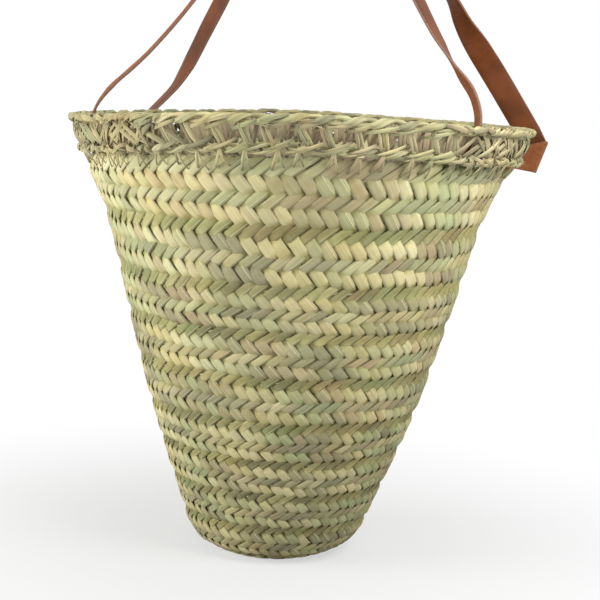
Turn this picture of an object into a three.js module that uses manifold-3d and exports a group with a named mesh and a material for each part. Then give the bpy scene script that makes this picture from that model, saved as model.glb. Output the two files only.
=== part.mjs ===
import * as THREE from 'three';
import { mergeVertices } from 'three/addons/utils/BufferGeometryUtils.js';
import ManifoldModule from 'manifold-3d';

// Tapered basket bag of plaited palm leaf with a laced openwork border and two leather strap handles.
// Millimetres, +Z up, base bottom centre at the origin, the handles on the -X and +X sides.

const { Manifold, Mesh: SolidMesh } = await ManifoldModule().then((wasm) => {
  wasm.setup();
  return wasm;
});

// Clearances
const fitGap = 0.3;
const seamGap = 0.4;
const notchClearance = 0.5;

// Outer wall line from the flat base to the top edge of the plait
const baseFlatRadius = 50;
const heelCornerRadius = 72;
const heelCornerHeight = 2;
const heelTopRadius = 81.5;
const heelTopHeight = 33;
const bellyRadius = 118.5;
const bellyHeight = 140;
const shoulderRadius = 155;
const shoulderHeight = 272;
const wallTopRadius = 180;
const wallTopHeight = 339;

// Plait
const plaitThickness = 5;
const plaitBevelDepth = 1.7;
const plaitBevelRun = 3.5;
const baseLip = 12;
const courseWidths = [36, 32, 34, 34, 41, 39, 39, 49];
const seamCordRadius = 0.9;
const wallSegments = 32;

// Laced border, stepped out and up from the top edge of the plait
const lowerRopeOut = 4.5;
const lowerRopeLift = 9.5;
const lowerRopeThickness = 6.5;
const upperRopeOut = 8.5;
const upperRopeLift = 22.2;
const upperRopeThickness = 8.5;
const laceThickness = 2.2;
const laceHeight = 3;
const lacePitchCount = 48;
const bindingLift = 2.5;
const bindingReach = 4;

// Leather straps
const strapWidth = 22;
const strapThickness = 2.4;
const foldX = 192;
const foldY = 112;
const foldZ = 349;
const tabAngle = 25;
const leanAngle = 121;
const tabRun = 49;
const passRun = 35;
const tailReach = 34;
const tailStartAzimuth = 51;
const tailEndAzimuth = 64;
const innerFootAzimuth = -25.5;
const innerFootLength = 34;
const innerFootSeat = 15;
const innerFootStep = 8;
const flexHeight = 379;
const crownX = 13;
const crownY = 46;
const crownZ = 616;
const crownSpread = 17;
const crownDrop = 7;
const crownSet = 4;
const bendStraight = 9;
const creaseStraight = 24;
const strapSteps = 48;
const notchLength = 50;
const notchRise = 30;
const stitchLength = 12;
const stitchWidth = 1.8;
const stitchHeight = 1.1;

// Loose strap legs from the rim up to the crown and down to the fold: a point, then the width direction.
// The left ones are written as seen in a mirror.
const rightFrontLeg = [
  [161, -72, 399, 0.27, -0.79, 0.54],
  [143, -57, 419, -0.18, -0.89, 0.42],
  [125, -43, 442, -0.36, -0.9, 0.24],
  [102, -26, 473, -0.36, -0.91, 0.18],
  [56, 5, 546, -0.18, -0.95, 0.27],
];
const rightBackLeg = [
  [58, 66, 557, 0.1, -0.97, -0.17],
  [109, 86, 480, 0.54, -0.83, 0.11],
  [119, 93, 460, 0.78, -0.58, 0.25],
  [133, 100, 439, 0.84, -0.11, 0.53],
  [147, 109, 418, 0.8, 0.09, 0.59],
];
const leftFrontLeg = [
  [150, -74, 388, 0.59, 0.8, -0.15],
  [133, -57, 403, 0.59, 0.8, -0.13],
  [118, -46, 421, 0.52, 0.85, -0.09],
  [90, -24, 465, 0.5, 0.86, -0.09],
  [52, 4, 540, 0.51, 0.86, -0.06],
];
const leftBackLeg = [
  [59, 70, 552, 0.55, 0.68, 0.49],
  [106, 92, 471, 0.6, 0.6, 0.54],
  [124, 102, 444, 0.48, 0.66, 0.58],
  [143, 113, 416, 0.38, 0.74, 0.55],
  [158, 119, 398, 0.31, 0.89, 0.34],
];

const degrees = (angle) => THREE.MathUtils.degToRad(angle);

function paint(color, roughness) {
  return new THREE.MeshStandardMaterial({ color, roughness, metalness: 0 });
}

const palmTones = [0xbdb285, 0xb4ab80, 0xc2b98c, 0xaaa57e];
const ropeTone = 0xcfc39a;
const laceTone = 0xc8bd92;
const cordTone = 0x9c9068;
const strapTone = 0x7a4526;
const tailTone = 0xa0613f;
const threadTone = 0xb7a67e;

const bag = new THREE.Group();
bag.name = 'basket_bag';

// One welded closed body per mesh, with its faces turned outward
function weld(geometry) {
  const bare = new THREE.BufferGeometry();
  bare.setAttribute('position', geometry.getAttribute('position').clone());
  if (geometry.index) {
    bare.setIndex(geometry.index.clone());
  }
  const merged = mergeVertices(bare, 1e-4);
  const spots = merged.getAttribute('position');
  const corners = merged.index.array;
  const kept = [];
  let volume = 0;
  const a = new THREE.Vector3();
  const b = new THREE.Vector3();
  const c = new THREE.Vector3();
  for (let i = 0; i < corners.length; i += 3) {
    const [p, q, r] = [corners[i], corners[i + 1], corners[i + 2]];
    if (p === q || q === r || r === p) {
      continue;
    }
    a.fromBufferAttribute(spots, p);
    b.fromBufferAttribute(spots, q);
    c.fromBufferAttribute(spots, r);
    volume += a.dot(b.cross(c));
    kept.push(p, q, r);
  }
  if (volume < 0) {
    for (let i = 0; i < kept.length; i += 3) {
      [kept[i + 1], kept[i + 2]] = [kept[i + 2], kept[i + 1]];
    }
  }
  merged.setIndex(kept);
  return merged;
}

function add(name, geometry, color, roughness) {
  const closed = weld(geometry);
  closed.computeVertexNormals();
  const mesh = new THREE.Mesh(closed, paint(color, roughness));
  mesh.name = name;
  bag.add(mesh);
  return mesh;
}

function toSolid(geometry) {
  const closed = weld(geometry);
  return new Manifold(new SolidMesh({
    numProp: 3,
    vertProperties: new Float32Array(closed.getAttribute('position').array),
    triVerts: new Uint32Array(closed.index.array),
  }));
}

function fromSolid(solid) {
  const mesh = solid.getMesh();
  const geometry = new THREE.BufferGeometry();
  geometry.setAttribute('position', new THREE.BufferAttribute(mesh.vertProperties, 3));
  geometry.setIndex(Array.from(mesh.triVerts));
  return geometry;
}

function mirrored(geometry) {
  return geometry.clone().scale(-1, 1, 1);
}

// Outer wall line, measured along its length
const heelLine = new THREE.QuadraticBezierCurve(
  new THREE.Vector2(baseFlatRadius, 0),
  new THREE.Vector2(heelCornerRadius, heelCornerHeight),
  new THREE.Vector2(heelTopRadius, heelTopHeight),
);
const sideLine = new THREE.SplineCurve([
  new THREE.Vector2(heelTopRadius, heelTopHeight),
  new THREE.Vector2(bellyRadius, bellyHeight),
  new THREE.Vector2(shoulderRadius, shoulderHeight),
  new THREE.Vector2(wallTopRadius, wallTopHeight),
]);
const heelLength = heelLine.getLength();
const wallLength = heelLength + sideLine.getLength();

function onLine(reach, read) {
  if (reach <= heelLength) {
    return heelLine[read](reach / heelLength);
  }
  return sideLine[read](Math.min(1, (reach - heelLength) / (wallLength - heelLength)));
}

function profilePoint(reach, depth) {
  const spot = onLine(reach, 'getPointAt');
  const along = onLine(reach, 'getTangentAt');
  return new THREE.Vector2(spot.x - along.y * depth, spot.y + along.x * depth);
}

function turned(points) {
  const closed = [...points, points[0].clone()];
  return new THREE.LatheGeometry(closed, wallSegments).rotateX(Math.PI / 2);
}

// Flat base coil with the start of the heel
const baseEdge = baseLip - seamGap / 2;
const basePoints = [
  new THREE.Vector2(0, 0),
  new THREE.Vector2(baseFlatRadius, 0),
  profilePoint(baseEdge - plaitBevelRun, 0),
  profilePoint(baseEdge, plaitBevelDepth),
  profilePoint(baseEdge, plaitThickness - plaitBevelDepth),
  profilePoint(baseEdge - plaitBevelRun, plaitThickness),
  new THREE.Vector2(baseFlatRadius, plaitThickness),
  new THREE.Vector2(0, plaitThickness),
];
add('base_disc', turned(basePoints), palmTones[0], 0.85);

// Plait courses, edge to edge up the wall, the widest at the top
const courseEdges = [baseLip];
for (const width of courseWidths) {
  courseEdges.push(courseEdges[courseEdges.length - 1] + width);
}
courseEdges.push(wallLength);
const courseCount = courseEdges.length - 1;

function courseGeometry(index) {
  const low = courseEdges[index] + seamGap / 2;
  const high = courseEdges[index + 1] - seamGap / 2;
  return turned([
    profilePoint(low, plaitBevelDepth),
    profilePoint(low + plaitBevelRun, 0),
    profilePoint((low + high) / 2, 0),
    profilePoint(high - plaitBevelRun, 0),
    profilePoint(high, plaitBevelDepth),
    profilePoint(high, plaitThickness - plaitBevelDepth),
    profilePoint(high - plaitBevelRun, plaitThickness),
    profilePoint((low + high) / 2, plaitThickness),
    profilePoint(low + plaitBevelRun, plaitThickness),
    profilePoint(low, plaitThickness - plaitBevelDepth),
  ]);
}

// Sewing cord in the inner groove below each course
function cordGeometry(index) {
  const spot = profilePoint(courseEdges[index], plaitThickness - plaitBevelDepth + seamCordRadius + fitGap);
  return new THREE.TorusGeometry(spot.x, seamCordRadius, 4, wallSegments).translate(0, 0, spot.y);
}

// Strap frames for the +X handle
const foldPoint = new THREE.Vector3(foldX, foldY, foldZ);
const lowerRopeSpot = new THREE.Vector2(wallTopRadius + lowerRopeOut, wallTopHeight + lowerRopeLift);
const upperRopeSpot = lowerRopeSpot.clone().add(new THREE.Vector2(upperRopeOut, upperRopeLift));
const borderRise = upperRopeSpot.clone().sub(lowerRopeSpot).normalize();
const borderOut = new THREE.Vector2(borderRise.y, -borderRise.x);
const widthSag = strapWidth ** 2 / (8 * wallTopRadius);
const innerStandOff = 2 * fitGap + laceThickness + widthSag + strapThickness / 2 + notchClearance;
const facetSag = wallTopRadius * (1 - Math.cos(Math.PI / wallSegments));

function radial(azimuth) {
  return new THREE.Vector3(Math.cos(degrees(azimuth)), Math.sin(degrees(azimuth)), 0);
}

function placed(spot, azimuth) {
  const arm = radial(azimuth).multiplyScalar(spot.x);
  return arm.setZ(spot.y);
}

function insideRope(spot, thickness) {
  return spot.clone().addScaledVector(borderOut, -thickness / 2 - innerStandOff);
}

const upperInside = insideRope(upperRopeSpot, upperRopeThickness);
const lowerInside = insideRope(lowerRopeSpot, lowerRopeThickness);
const flexPoint = placed(new THREE.Vector2(upperInside.x, flexHeight), innerFootAzimuth);
const swingAxis = foldPoint.clone().sub(flexPoint).normalize();
const foldOut = new THREE.Vector3(1, 0, 0).projectOnPlane(swingAxis).normalize();
const foldUp = foldOut.clone().cross(swingAxis);

function inFold(angle) {
  const turn = degrees(angle);
  return foldOut.clone().multiplyScalar(Math.cos(turn)).addScaledVector(foldUp, Math.sin(turn));
}

const tabLine = inFold(tabAngle);
const tabAcross = inFold(tabAngle + 90);
const leanLine = inFold(leanAngle);
const creaseLine = inFold((tabAngle + leanAngle) / 2);
const creaseHalf = strapWidth / 2 / Math.sin(degrees((leanAngle - tabAngle) / 2));
const layerOffset = (strapThickness + fitGap) / 2;

// Flat strap through a list of stations, each with both edges and its face direction
function ribbon(stations) {
  const spots = [];
  const faces = [];
  for (const { left, right, face, thickness = strapThickness } of stations) {
    const half = face.clone().multiplyScalar(thickness / 2);
    for (const corner of [
      left.clone().add(half),
      right.clone().add(half),
      right.clone().sub(half),
      left.clone().sub(half),
    ]) {
      spots.push(corner.x, corner.y, corner.z);
    }
  }
  for (let i = 0; i + 1 < stations.length; i += 1) {
    for (let k = 0; k < 4; k += 1) {
      const p = 4 * i + k;
      const q = 4 * i + ((k + 1) % 4);
      faces.push(p, q, q + 4, p, q + 4, p + 4);
    }
  }
  const end = 4 * (stations.length - 1);
  faces.push(0, 2, 1, 0, 3, 2, end, end + 1, end + 2, end, end + 2, end + 3);
  const geometry = new THREE.BufferGeometry();
  geometry.setAttribute('position', new THREE.Float32BufferAttribute(spots, 3));
  geometry.setIndex(faces);
  return geometry;
}

function station(centre, across, face, thickness) {
  const half = across.clone().normalize().multiplyScalar(strapWidth / 2);
  const left = centre.clone().sub(half);
  const right = centre.clone().add(half);
  return { left, right, face: face.clone().normalize(), thickness };
}

function creaseStation(side) {
  const centre = foldPoint.clone().addScaledVector(swingAxis, side * layerOffset);
  const half = creaseLine.clone().multiplyScalar(creaseHalf);
  return { left: centre.clone().sub(half), right: centre.clone().add(half), face: swingAxis.clone() };
}

function wallStation(reach, depth, azimuth, alongWall) {
  const rise = onLine(reach, 'getTangentAt');
  const up = radial(azimuth).multiplyScalar(rise.x).setZ(rise.y);
  const out = radial(azimuth).multiplyScalar(rise.y).setZ(-rise.x);
  const centre = placed(profilePoint(reach, depth), azimuth);
  return station(centre, alongWall ? up : radial(azimuth + 90), out);
}

// Outer foot: from the fold, under the lower rope and through the wall, then flat on the inside
const onWall = plaitThickness + facetSag + widthSag + fitGap + strapThickness / 2;
const tabStart = foldPoint.clone().addScaledVector(swingAxis, -layerOffset);
const outerFoot = [creaseStation(-1)];
outerFoot.push(station(tabStart.clone().addScaledVector(tabLine, -strapWidth), tabAcross, swingAxis));
const passStart = tabStart.clone().addScaledVector(tabLine, -tabRun);
for (const run of [0, passRun]) {
  outerFoot.push(station(passStart.clone().addScaledVector(foldOut, -run), foldUp, swingAxis));
}
const tailSpot = wallLength - tailReach;
for (const turn of [tailStartAzimuth, (tailStartAzimuth + tailEndAzimuth) / 2, tailEndAzimuth]) {
  outerFoot.push(wallStation(tailSpot, onWall, turn, true));
}
const outerFootGeometry = ribbon(outerFoot);

// Notch that the outer foot passes in the top course
const notch = new THREE.BoxGeometry(notchLength, strapWidth + notchRise, strapThickness + 2 * notchClearance);
notch.translate(-notchLength / 2, notchRise / 2 - notchClearance, 0);
notch.applyMatrix4(new THREE.Matrix4().makeBasis(foldOut, foldUp, foldOut.clone().cross(foldUp)));
notch.translate(passStart.x, passStart.y, passStart.z);

// Inner foot: flat on the inside of the top course, then up inside the border to the bend
const innerFoot = [];
for (const reach of [innerFootLength, innerFootSeat]) {
  innerFoot.push(wallStation(wallLength - reach, onWall, innerFootAzimuth, false));
}
const overBinding = onWall + laceThickness + fitGap + 2 * notchClearance;
innerFoot.push(wallStation(wallLength - innerFootStep, overBinding, innerFootAzimuth, false));
const footFace = radial(innerFootAzimuth).multiplyScalar(borderOut.x).setZ(borderOut.y);
const footAcross = radial(innerFootAzimuth + 90);
for (const spot of [lowerInside, upperInside]) {
  innerFoot.push(station(placed(spot, innerFootAzimuth), footAcross, footFace));
}
const flexUp = new THREE.Vector3(0, 0, 1).projectOnPlane(swingAxis).normalize();
const flexFace = swingAxis.clone().cross(flexUp);
const bendRun = 0.8 * strapThickness;
const hingeEdge = fitGap / 2;
const bendTip = fitGap / 2;
const bendLow = flexPoint.clone().addScaledVector(flexUp, -bendRun - hingeEdge);
const bendEdge = flexPoint.clone().addScaledVector(flexUp, -hingeEdge);
innerFoot.push(station(bendLow, swingAxis, flexFace));
innerFoot.push(station(bendEdge, swingAxis, flexFace, bendTip));
const innerFootGeometry = ribbon(innerFoot);

// Moving strap: from the bend inside the border over the crown to the fold outside it
const alongX = new THREE.Vector3(1, 0, 0);
const leanAcross = inFold(leanAngle - 90);
const strapEnd = foldPoint.clone().addScaledVector(swingAxis, layerOffset);
const crown = [
  new THREE.Vector3(crownX + crownSet, crownY - crownSpread, crownZ - crownDrop),
  new THREE.Vector3(crownX, crownY, crownZ),
  new THREE.Vector3(crownX + crownSet, crownY + crownSpread, crownZ - crownDrop),
];

function legKnots(leg) {
  return leg.map((row) => [new THREE.Vector3(...row.slice(0, 3)), new THREE.Vector3(...row.slice(3))]);
}

function facing(across, guide) {
  return across.clone().multiplyScalar(Math.sign(across.dot(guide)));
}

function handleGeometry(frontLeg, backLeg) {
  const rise = legKnots(frontLeg);
  const bendAcross = facing(swingAxis, rise[0][1]);
  const crownAcross = facing(alongX, rise[rise.length - 1][1]);
  const legRise = rise[0][0].clone().sub(flexPoint).projectOnPlane(swingAxis).normalize();
  const strapStart = flexPoint.clone().addScaledVector(legRise, hingeEdge);
  const route = [
    [strapStart.clone().addScaledVector(legRise, bendRun), bendAcross],
    [strapStart.clone().addScaledVector(legRise, bendStraight), bendAcross],
    ...rise,
    ...crown.map((spot) => [spot, crownAcross]),
    ...legKnots(backLeg),
    [strapEnd.clone().addScaledVector(leanLine, creaseStraight), leanAcross],
  ];
  const strapLine = new THREE.CatmullRomCurve3(route.map(([spot]) => spot), false, 'centripetal');
  const strap = [station(strapStart, bendAcross, legRise.clone().cross(bendAcross), bendTip)];
  for (let i = 0; i <= strapSteps; i += 1) {
    const part = i / strapSteps;
    const key = Math.min(route.length - 2, Math.floor(part * (route.length - 1)));
    const across = route[key][1].clone().lerp(route[key + 1][1], part * (route.length - 1) - key);
    const along = strapLine.getTangent(part);
    across.projectOnPlane(along).normalize();
    strap.push(station(strapLine.getPoint(part), across, along.clone().cross(across)));
  }
  const crease = creaseStation(1);
  strap.push({ ...crease, face: leanLine.clone().negate().cross(leanAcross) });
  return ribbon(strap);
}

// Sewing stitch on the inner face of each foot
function stitchGeometry(reach, azimuth, upright) {
  const depth = onWall + strapThickness / 2 + fitGap + stitchHeight / 2;
  const seat = wallStation(reach, depth, azimuth, upright);
  const along = seat.right.clone().sub(seat.left).normalize();
  const bar = new THREE.BoxGeometry(stitchLength, stitchWidth, stitchHeight);
  bar.applyMatrix4(new THREE.Matrix4().makeBasis(along, seat.face.clone().cross(along), seat.face));
  const centre = seat.left.clone().add(seat.right).multiplyScalar(0.5);
  return bar.translate(centre.x, centre.y, centre.z);
}

// Courses and cords, with the notches cut in the top course
for (let i = 0; i < courseCount; i += 1) {
  let geometry = courseGeometry(i);
  if (i === courseCount - 1) {
    const cutters = [notch, mirrored(notch)].map(toSolid);
    geometry = fromSolid(cutters.reduce((body, cutter) => body.subtract(cutter), toSolid(geometry)));
  }
  add(`wall_course_${i + 1}`, geometry, palmTones[i % palmTones.length], 0.85);
  add(`seam_cord_${i + 1}`, cordGeometry(i), cordTone, 0.9);
}

// Border ropes
function ropeGeometry(spot, thickness) {
  return new THREE.TorusGeometry(spot.x, thickness / 2, 8, lacePitchCount).translate(0, 0, spot.y);
}

add('border_rope_lower', ropeGeometry(lowerRopeSpot, lowerRopeThickness), ropeTone, 0.85);
add('border_rope_upper', ropeGeometry(upperRopeSpot, upperRopeThickness), ropeTone, 0.85);

// Zigzag strand round the border, between a high and a low point of its line
function zigzag(high, low, highFirst) {
  const spots = [];
  const faces = [];
  const count = 2 * lacePitchCount;
  for (let i = 0; i < count; i += 1) {
    const spot = (i % 2 === 0) === highFirst ? high : low;
    for (const [across, up] of [[1, 0], [0, 1], [-1, 0], [0, -1]]) {
      const out = across * laceThickness / 2;
      const rise = up * laceHeight / 2;
      const section = new THREE.Vector2(
        spot.x + borderOut.x * out + borderRise.x * rise,
        spot.y + borderOut.y * out + borderRise.y * rise,
      );
      const corner = placed(section, (i * 360) / count);
      spots.push(corner.x, corner.y, corner.z);
    }
    for (let k = 0; k < 4; k += 1) {
      const p = 4 * i + k;
      const q = 4 * i + ((k + 1) % 4);
      const size = 4 * count;
      faces.push(p, q, (q + 4) % size, p, (q + 4) % size, (p + 4) % size);
    }
  }
  const geometry = new THREE.BufferGeometry();
  geometry.setAttribute('position', new THREE.Float32BufferAttribute(spots, 3));
  geometry.setIndex(faces);
  return geometry;
}

function besideRope(spot, thickness, side, lift, room) {
  const off = side * (thickness / 2 + fitGap + room + laceThickness / 2);
  return spot.clone().addScaledVector(borderOut, off).addScaledVector(borderRise, lift);
}

for (const [label, side] of [['outer', 1], ['inner', -1]]) {
  const topRoom = side < 0 ? notchClearance : 0;
  const top = besideRope(upperRopeSpot, upperRopeThickness, side, 0, topRoom);
  const middle = besideRope(lowerRopeSpot, lowerRopeThickness, side, bindingLift, notchClearance);
  const laceSeat = laceThickness / 2 + fitGap;
  const wallDepth = side > 0 ? -laceSeat : plaitThickness + facetSag + laceSeat;
  const bottom = profilePoint(wallLength - bindingReach, wallDepth);
  add(`border_lattice_${label}`, zigzag(top, middle, side > 0), laceTone, 0.85);
  add(`edge_binding_${label}`, zigzag(middle, bottom, side > 0), laceTone, 0.85);
}

// Handles, feet and stitches on both sides
const handles = [
  ['right', rightFrontLeg, rightBackLeg, (geometry) => geometry],
  ['left', leftFrontLeg, leftBackLeg, mirrored],
];
for (const [label, frontLeg, backLeg, shape] of handles) {
  add(`${label}_handle_strap`, shape(handleGeometry(frontLeg, backLeg)), strapTone, 0.5);
  add(`${label}_outer_foot`, shape(outerFootGeometry), tailTone, 0.7);
  add(`${label}_inner_foot`, shape(innerFootGeometry), tailTone, 0.7);
  const outerSeat = stitchGeometry(tailSpot, (tailStartAzimuth + tailEndAzimuth) / 2, true);
  const innerSpot = wallLength - (innerFootLength + innerFootSeat) / 2;
  const innerSeat = stitchGeometry(innerSpot, innerFootAzimuth, false);
  add(`${label}_outer_stitch`, shape(outerSeat), threadTone, 0.9);
  add(`${label}_inner_stitch`, shape(innerSeat), threadTone, 0.9);
}

export default bag;
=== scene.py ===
import bisect
import math
import random

import bmesh
import bpy
from mathutils import Matrix, Vector, noise


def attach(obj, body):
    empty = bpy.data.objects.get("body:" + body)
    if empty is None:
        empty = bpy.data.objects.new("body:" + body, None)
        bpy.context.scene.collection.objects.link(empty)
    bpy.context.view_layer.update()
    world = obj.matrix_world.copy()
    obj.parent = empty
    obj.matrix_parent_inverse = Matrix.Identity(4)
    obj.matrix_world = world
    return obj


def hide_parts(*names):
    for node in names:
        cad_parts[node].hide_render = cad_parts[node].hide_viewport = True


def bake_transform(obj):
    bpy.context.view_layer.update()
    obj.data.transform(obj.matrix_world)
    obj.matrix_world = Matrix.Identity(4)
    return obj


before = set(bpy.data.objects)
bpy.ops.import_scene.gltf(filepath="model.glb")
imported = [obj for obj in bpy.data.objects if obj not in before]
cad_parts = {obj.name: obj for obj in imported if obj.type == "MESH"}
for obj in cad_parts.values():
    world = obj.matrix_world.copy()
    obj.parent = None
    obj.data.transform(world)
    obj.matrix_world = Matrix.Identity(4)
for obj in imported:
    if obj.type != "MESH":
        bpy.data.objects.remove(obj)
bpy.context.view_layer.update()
scene = bpy.context.scene
scene.view_settings.view_transform = "Standard"
dice = random.Random(7401)

# camera right of the basket's front, a little above the rim, as in the photo
shot = {
    "turn": -74.0, "away": 1.3047, "height": 0.405,  # where it stands, in degrees and metres
    "dip": 8.23, "aside": -0.475, "roll": 3.487,  # how it is aimed, in degrees
    "lens": 91.8, "sensor": 36, "reach": 30,
}
look = math.radians(shot["turn"] + shot["aside"])
dip = math.radians(shot["dip"])
forward = Vector((-math.cos(look) * math.cos(dip), -math.sin(look) * math.cos(dip), -math.sin(dip)))
right = forward.cross(Vector((0, 0, 1))).normalized()
upward = right.cross(forward)
roll = math.radians(shot["roll"])
rolledRight = right * math.cos(roll) + upward * math.sin(roll)
rolledUp = upward * math.cos(roll) - right * math.sin(roll)
cam = bpy.data.objects.new("camera", bpy.data.cameras.new("camera"))
cam.data.lens = shot["lens"]
cam.data.sensor_width = shot["sensor"]
cam.data.clip_end = shot["reach"]
stand = math.radians(shot["turn"])
spot = Vector((shot["away"] * math.cos(stand), shot["away"] * math.sin(stand), shot["height"]))
cam.matrix_world = Matrix.Translation(spot) @ Matrix((rolledRight, rolledUp, -forward)).transposed().to_4x4()
scene.collection.objects.link(cam)
scene.camera = cam
print("camera set")


class Wire:  # a shader socket that can be used in plain sums
    def __init__(self, tree, socket=None):
        self.tree = tree
        self.socket = socket

    def make(self, kind, settings=None, sockets=None, out=0):
        node = self.tree.nodes.new("ShaderNode" + kind)
        for name, value in (settings or {}).items():
            setattr(node, name, value)
        for name, value in (sockets or {}).items():
            if isinstance(value, Wire):
                self.tree.links.new(value.socket, node.inputs[name])
            else:
                node.inputs[name].default_value = value
        return Wire(self.tree, node.outputs[out])

    def beside(self, out):  # another output of the same node
        return Wire(self.tree, self.socket.node.outputs[out])

    def work(self, operation, *terms):
        return self.make("Math", {"operation": operation}, dict(enumerate(terms)))

    def __add__(self, other):
        return self.work("ADD", self, other)

    def __radd__(self, other):
        return self.work("ADD", other, self)

    def __sub__(self, other):
        return self.work("SUBTRACT", self, other)

    def __rsub__(self, other):
        return self.work("SUBTRACT", other, self)

    def __mul__(self, other):
        return self.work("MULTIPLY", self, other)

    def __rmul__(self, other):
        return self.work("MULTIPLY", other, self)

    def __abs__(self):
        return self.work("ABSOLUTE", self)

    def ease(self, low, high):  # 0 below low, 1 above high
        return self.make("MapRange", {"interpolation_type": "SMOOTHSTEP"},
                         {"Value": self, "From Min": low, "From Max": high})

    def mix(self, a, b, blend="MIX"):  # this socket is the factor
        settings = {"data_type": "RGBA", "blend_type": blend}
        return self.make("Mix", settings, {0: self, 6: a, 7: b}, 2)

    def noise(self, vector, scale, detail=3.0, rough=0.55):
        sockets = {"Vector": vector, "Scale": scale, "Detail": detail, "Roughness": rough}
        return self.make("TexNoise", {}, sockets, "Fac")


def tint(red, green, blue):  # screen colour 0 to 255 as a shader colour
    def linear(part):
        part = part / 255
        return part / 12.92 if part <= 0.04045 else ((part + 0.055) / 1.055) ** 2.4
    return Vector((linear(red), linear(green), linear(blue)))


def asColor(tone):
    return (tone.x, tone.y, tone.z, 1)


def colorPair(pair):
    return [asColor(tint(*tone)) for tone in pair]


def newMaterial(name, rough, specular):
    mat = bpy.data.materials.new(name)
    mat.use_nodes = True
    shader = mat.node_tree.nodes["Principled BSDF"]
    shader.inputs["Roughness"].default_value = rough
    shader.inputs["Specular IOR Level"].default_value = specular
    return mat, shader, Wire(mat.node_tree)


def stripWires(wire):  # along and across a strand, from its UV map
    along = wire.make("SeparateXYZ", {}, {0: wire.make("UVMap", {"uv_map": "UVMap"})})
    return along, along.beside(1)


def wearOf(shader, wire, color, rough, height, strength, distance):
    bump = wire.make("Bump", {}, {"Height": height, "Strength": strength, "Distance": distance})
    for name, part in (("Base Color", color), ("Roughness", rough), ("Normal", bump)):
        wire.tree.links.new(part.socket, shader.inputs[name])


palm = {
    "rough": 0.7, "specular": 0.18, "bump": 0.6, "bumpDepth": 0.0006,
    "shade": 0.46, "fibre": 0.62, "vein": 0.38, "patch": 0.3, "edgeShade": 0.22,
    "patchSize": 42.0, "foldTone": (232, 224, 184), "dryTone": (196, 172, 128),
}


def palmMaterial(name, lines, stretch, rib, shadeTint=(1, 1, 1, 1)):
    mat, shader, wire = newMaterial(name, palm["rough"], palm["specular"])
    leaf = wire.make("Attribute", {"attribute_name": "leaf"}, out="Color")
    seed = wire.make("Attribute", {"attribute_name": "seed"}, out="Fac")
    along, across = stripWires(wire)
    fibreSpot = wire.make("CombineXYZ", {}, {0: along * stretch, 1: across * lines, 2: seed * 40})
    fibre = wire.noise(fibreSpot, 1.0, 4.0, 0.6)
    veinSpot = wire.make("CombineXYZ", {}, {0: along * stretch * 0.4, 1: across * lines * 0.35, 2: seed * 23})
    vein = wire.noise(veinSpot, 1.0, 2.0, 0.5)
    place = wire.make("TexCoord", out="Object")
    patch = wire.noise(place, palm["patchSize"], 2.0)
    # fibre lines, soft leaf veins and slow patches over the strand's own tone
    shade = palm["shade"] + fibre * palm["fibre"] + vein * palm["vein"] + (patch - 0.5) * palm["patch"]
    # painted shade along both edges of the strand, deepening the gaps between strands
    side = abs(across - 0.5)
    shade = shade * (1.0 - side.ease(0.36, 0.5) * palm["edgeShade"])
    toned = wire.make("VectorMath", {"operation": "SCALE"}, {0: leaf, "Scale": shade})
    # some strands keep the pale folded edge of the leaf
    fold = seed.ease(0.55, 0.6) * (1.0 - abs(across - (0.12 + seed * 0.2)).ease(0.0, 0.045)) * rib
    pale = (fold * 0.75).mix(toned, asColor(tint(*palm["foldTone"])))
    dry = (patch.ease(0.52, 0.72) * 0.3).mix(pale, asColor(tint(*palm["dryTone"])), "MULTIPLY")
    # the shade tint multiplies in painted shade and a mauve cast on the underside, and nothing on the other
    # materials
    faced = wire.make("Mix", {"data_type": "RGBA", "blend_type": "MULTIPLY"}, {0: 1.0, 6: dry, 7: shadeTint}, 2)
    height = fibre * 0.5 + vein * 0.35 + fold * 0.6
    wearOf(shader, wire, faced, 0.62 + fibre * 0.25, height, palm["bump"], palm["bumpDepth"])
    return mat


palmLeaf = palmMaterial("palmLeaf", lines=9, stretch=2.2, rib=1.0)
# the leaf's underside, with a mauve cast and painted shade that darken it
palmUndersideShaded = palmMaterial("palmUndersideShaded", lines=13, stretch=2.5, rib=0.4, shadeTint=(0.66, 0.58, 0.74, 1))
palmRope = palmMaterial("palmRope", lines=16, stretch=60, rib=0.6)
palmLace = palmMaterial("palmLace", lines=7, stretch=1.2, rib=0.8)
palmCord = palmMaterial("palmCord", lines=6, stretch=60, rib=0.0)

hide = {
    "rough": 0.5, "specular": 0.18, "bump": 0.22, "bumpDepth": 0.0004,
    "cloudSize": 34.0, "poreSize": 900.0, "napSize": 260.0,
    "grain": ((84, 45, 21), (112, 61, 31)),
    "flesh": ((114, 66, 38), (158, 98, 60)),
    "cutEdge": ((104, 76, 62), (150, 118, 99)),
}


def leatherMaterial(name):
    mat, shader, wire = newMaterial(name, hide["rough"], hide["specular"])
    place = wire.make("TexCoord", out="Object")
    flesh = wire.make("Attribute", {"attribute_name": "flesh"}, out="Fac")
    rim = wire.make("Attribute", {"attribute_name": "rim"}, out="Fac")
    cloud = wire.noise(place, hide["cloudSize"], 4.0)
    pores = wire.make("TexVoronoi", {"feature": "DISTANCE_TO_EDGE"},
                      {"Vector": place, "Scale": hide["poreSize"]}, "Distance")
    nap = wire.noise(place, hide["napSize"], 5.0, 0.7)
    grain = cloud.ease(0.3, 0.72).mix(*colorPair(hide["grain"]))
    under = (nap * 0.6 + cloud * 0.5).ease(0.3, 0.8).mix(*colorPair(hide["flesh"]))
    faced = flesh.mix(grain, under)
    edge = nap.mix(*colorPair(hide["cutEdge"]))
    color = rim.mix(faced, edge)
    rough = 0.55 + flesh * 0.3 + rim * 0.2 + (cloud - 0.5) * 0.1
    height = pores.ease(0.0, 0.25) * (1.0 - flesh) * 0.3 + nap * (0.25 + flesh * 0.8)
    wearOf(shader, wire, color, rough, height, hide["bump"], hide["bumpDepth"])
    return mat


leather = leatherMaterial("strapLeather")

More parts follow.
